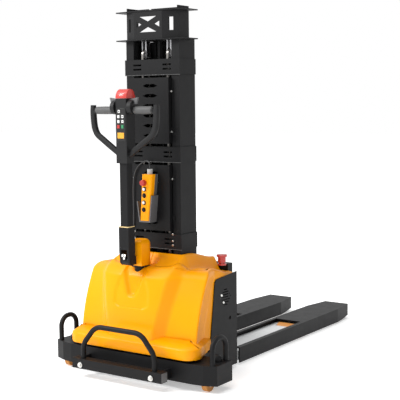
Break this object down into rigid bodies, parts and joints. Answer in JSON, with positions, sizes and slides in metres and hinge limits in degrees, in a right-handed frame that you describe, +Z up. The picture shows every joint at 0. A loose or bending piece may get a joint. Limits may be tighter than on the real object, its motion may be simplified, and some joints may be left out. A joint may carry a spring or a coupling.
{
  "type": "self-loading stacker",
  "caption": "Walk-behind self-loading stacker: closed yellow cover, black mast with lift forks over support legs, upright tiller with a closed handle, bumper hoops.",
  "frame": {"origin": "on the floor, under the middle of the whole object's box", "axes": "+X to the operator's right, +Y from the operator towards the fork tips, +Z up"},
  "size_m": [0.94, 1.825, 1.716],
  "materials": {
    "cover_yellow": "smooth moulded plastic",
    "paint_black": "satin powder coat with fine texture",
    "paint_light": "semi-gloss paint",
    "plastic_black": "fine-grained moulded plastic",
    "plastic_grey": "fine-grained moulded plastic",
    "plastic_red": "smooth moulded plastic",
    "tread_orange": "smooth polyurethane",
    "tread_drive": "smooth polyurethane",
    "steel": "turned steel",
    "chrome": "hard chrome",
    "chain_steel": "oiled steel",
    "cable_black": "smooth cable jacket"
  },
  "bodies": {
    "chassis": {"base_frame": "paint_black", "bumper_bar": "paint_black", "bumper_hoop": "paint_black", "side_hoops": "paint_black", "drive_housing": "paint_black", "cover": "cover_yellow", "side_panel_left": "paint_black", "side_panel_right": "paint_black", "batteries": "plastic_black", "emergency_stop": "plastic_red", "mast_uprights": "paint_black", "mast_bands": "paint_black", "mast_panels": "paint_black", "mast_back": "paint_black", "head_plates": "paint_black", "head_cover": "paint_black", "lift_chains": "chain_steel", "chain_sprockets": "steel", "lift_barrel": "paint_black", "support_legs": "paint_light", "pendant_holster": "plastic_grey", "pendant": "cover_yellow", "cable_glands": "plastic_black", "pendant_cable": "cable_black"},
    "steering": {"drive_fork": "paint_black", "turret_cap": "cover_yellow"},
    "drive_wheel": {"drive_wheel": "tread_drive"},
    "tiller": {"tiller_bracket": "paint_black", "tiller_arm": "paint_black", "tiller_head": "plastic_black", "belly_button": "plastic_red", "handle_left": "plastic_black", "handle_right": "plastic_black", "thumb_paddles": "plastic_grey"},
    "carriage": {"carriage_frame": "paint_black", "carriage_sides": "paint_black", "carriage_tie": "paint_black", "mast_rollers": "steel", "fork_left": "paint_black", "fork_right": "paint_black"},
    "lift_rod": {"lift_rod": "chrome"},
    "caster_left": {"caster_fork_left": "steel"},
    "caster_right": {"caster_fork_right": "steel"},
    "caster_wheel_left": {"caster_wheel_left": "tread_orange"},
    "caster_wheel_right": {"caster_wheel_right": "tread_orange"},
    "load_wheel_middle_left": {"load_wheel_middle_left": "tread_orange"},
    "load_wheel_tip_left": {"load_wheel_tip_left": "tread_orange"},
    "load_wheel_middle_right": {"load_wheel_middle_right": "tread_orange"},
    "load_wheel_tip_right": {"load_wheel_tip_right": "tread_orange"}
  },
  "joints": [
    {"name": "fork_lift", "type": "slide", "parent": "chassis", "child": "carriage", "axis": [0, 0, 1], "range_m": [0, 1.215]},
    {"name": "rod_lift", "type": "slide", "parent": "chassis", "child": "lift_rod", "axis": [0, 0, 1], "range_m": [0, 0.608]},
    {"name": "steering", "type": "hinge", "parent": "chassis", "child": "steering", "pos_m": [0, -0.7155, 0.204], "axis": [0, 0, 1], "range_deg": [-55, 55]},
    {"name": "drive_wheel_roll", "type": "hinge", "parent": "steering", "child": "drive_wheel", "pos_m": [0, -0.7155, 0.075], "axis": [1, 0, 0], "continuous": true},
    {"name": "tiller_tilt", "type": "hinge", "parent": "steering", "child": "tiller", "pos_m": [0, -0.8115, 0.556], "axis": [1, 0, 0], "range_deg": [0, 75]},
    {"name": "caster_swivel_left", "type": "hinge", "parent": "chassis", "child": "caster_left", "pos_m": [-0.405, -0.7445, 0.08], "axis": [0, 0, 1], "continuous": true},
    {"name": "caster_roll_left", "type": "hinge", "parent": "caster_left", "child": "caster_wheel_left", "pos_m": [-0.405, -0.7605, 0.034], "axis": [1, 0, 0], "continuous": true},
    {"name": "load_wheel_roll_middle_left", "type": "hinge", "parent": "chassis", "child": "load_wheel_middle_left", "pos_m": [-0.1875, 0.3245, 0.036], "axis": [1, 0, 0], "continuous": true},
    {"name": "load_wheel_roll_tip_left", "type": "hinge", "parent": "chassis", "child": "load_wheel_tip_left", "pos_m": [-0.1875, 0.7595, 0.036], "axis": [1, 0, 0], "continuous": true},
    {"name": "caster_swivel_right", "type": "hinge", "parent": "chassis", "child": "caster_right", "pos_m": [0.405, -0.7445, 0.08], "axis": [0, 0, 1], "continuous": true},
    {"name": "caster_roll_right", "type": "hinge", "parent": "caster_right", "child": "caster_wheel_right", "pos_m": [0.405, -0.7605, 0.034], "axis": [1, 0, 0], "continuous": true},
    {"name": "load_wheel_roll_middle_right", "type": "hinge", "parent": "chassis", "child": "load_wheel_middle_right", "pos_m": [0.1875, 0.3245, 0.036], "axis": [1, 0, 0], "continuous": true},
    {"name": "load_wheel_roll_tip_right", "type": "hinge", "parent": "chassis", "child": "load_wheel_tip_right", "pos_m": [0.1875, 0.7595, 0.036], "axis": [1, 0, 0], "continuous": true}
  ],
  "couplings": [
    {"joint": "rod_lift", "follows": "fork_lift", "ratio": 0.5}
  ]
}
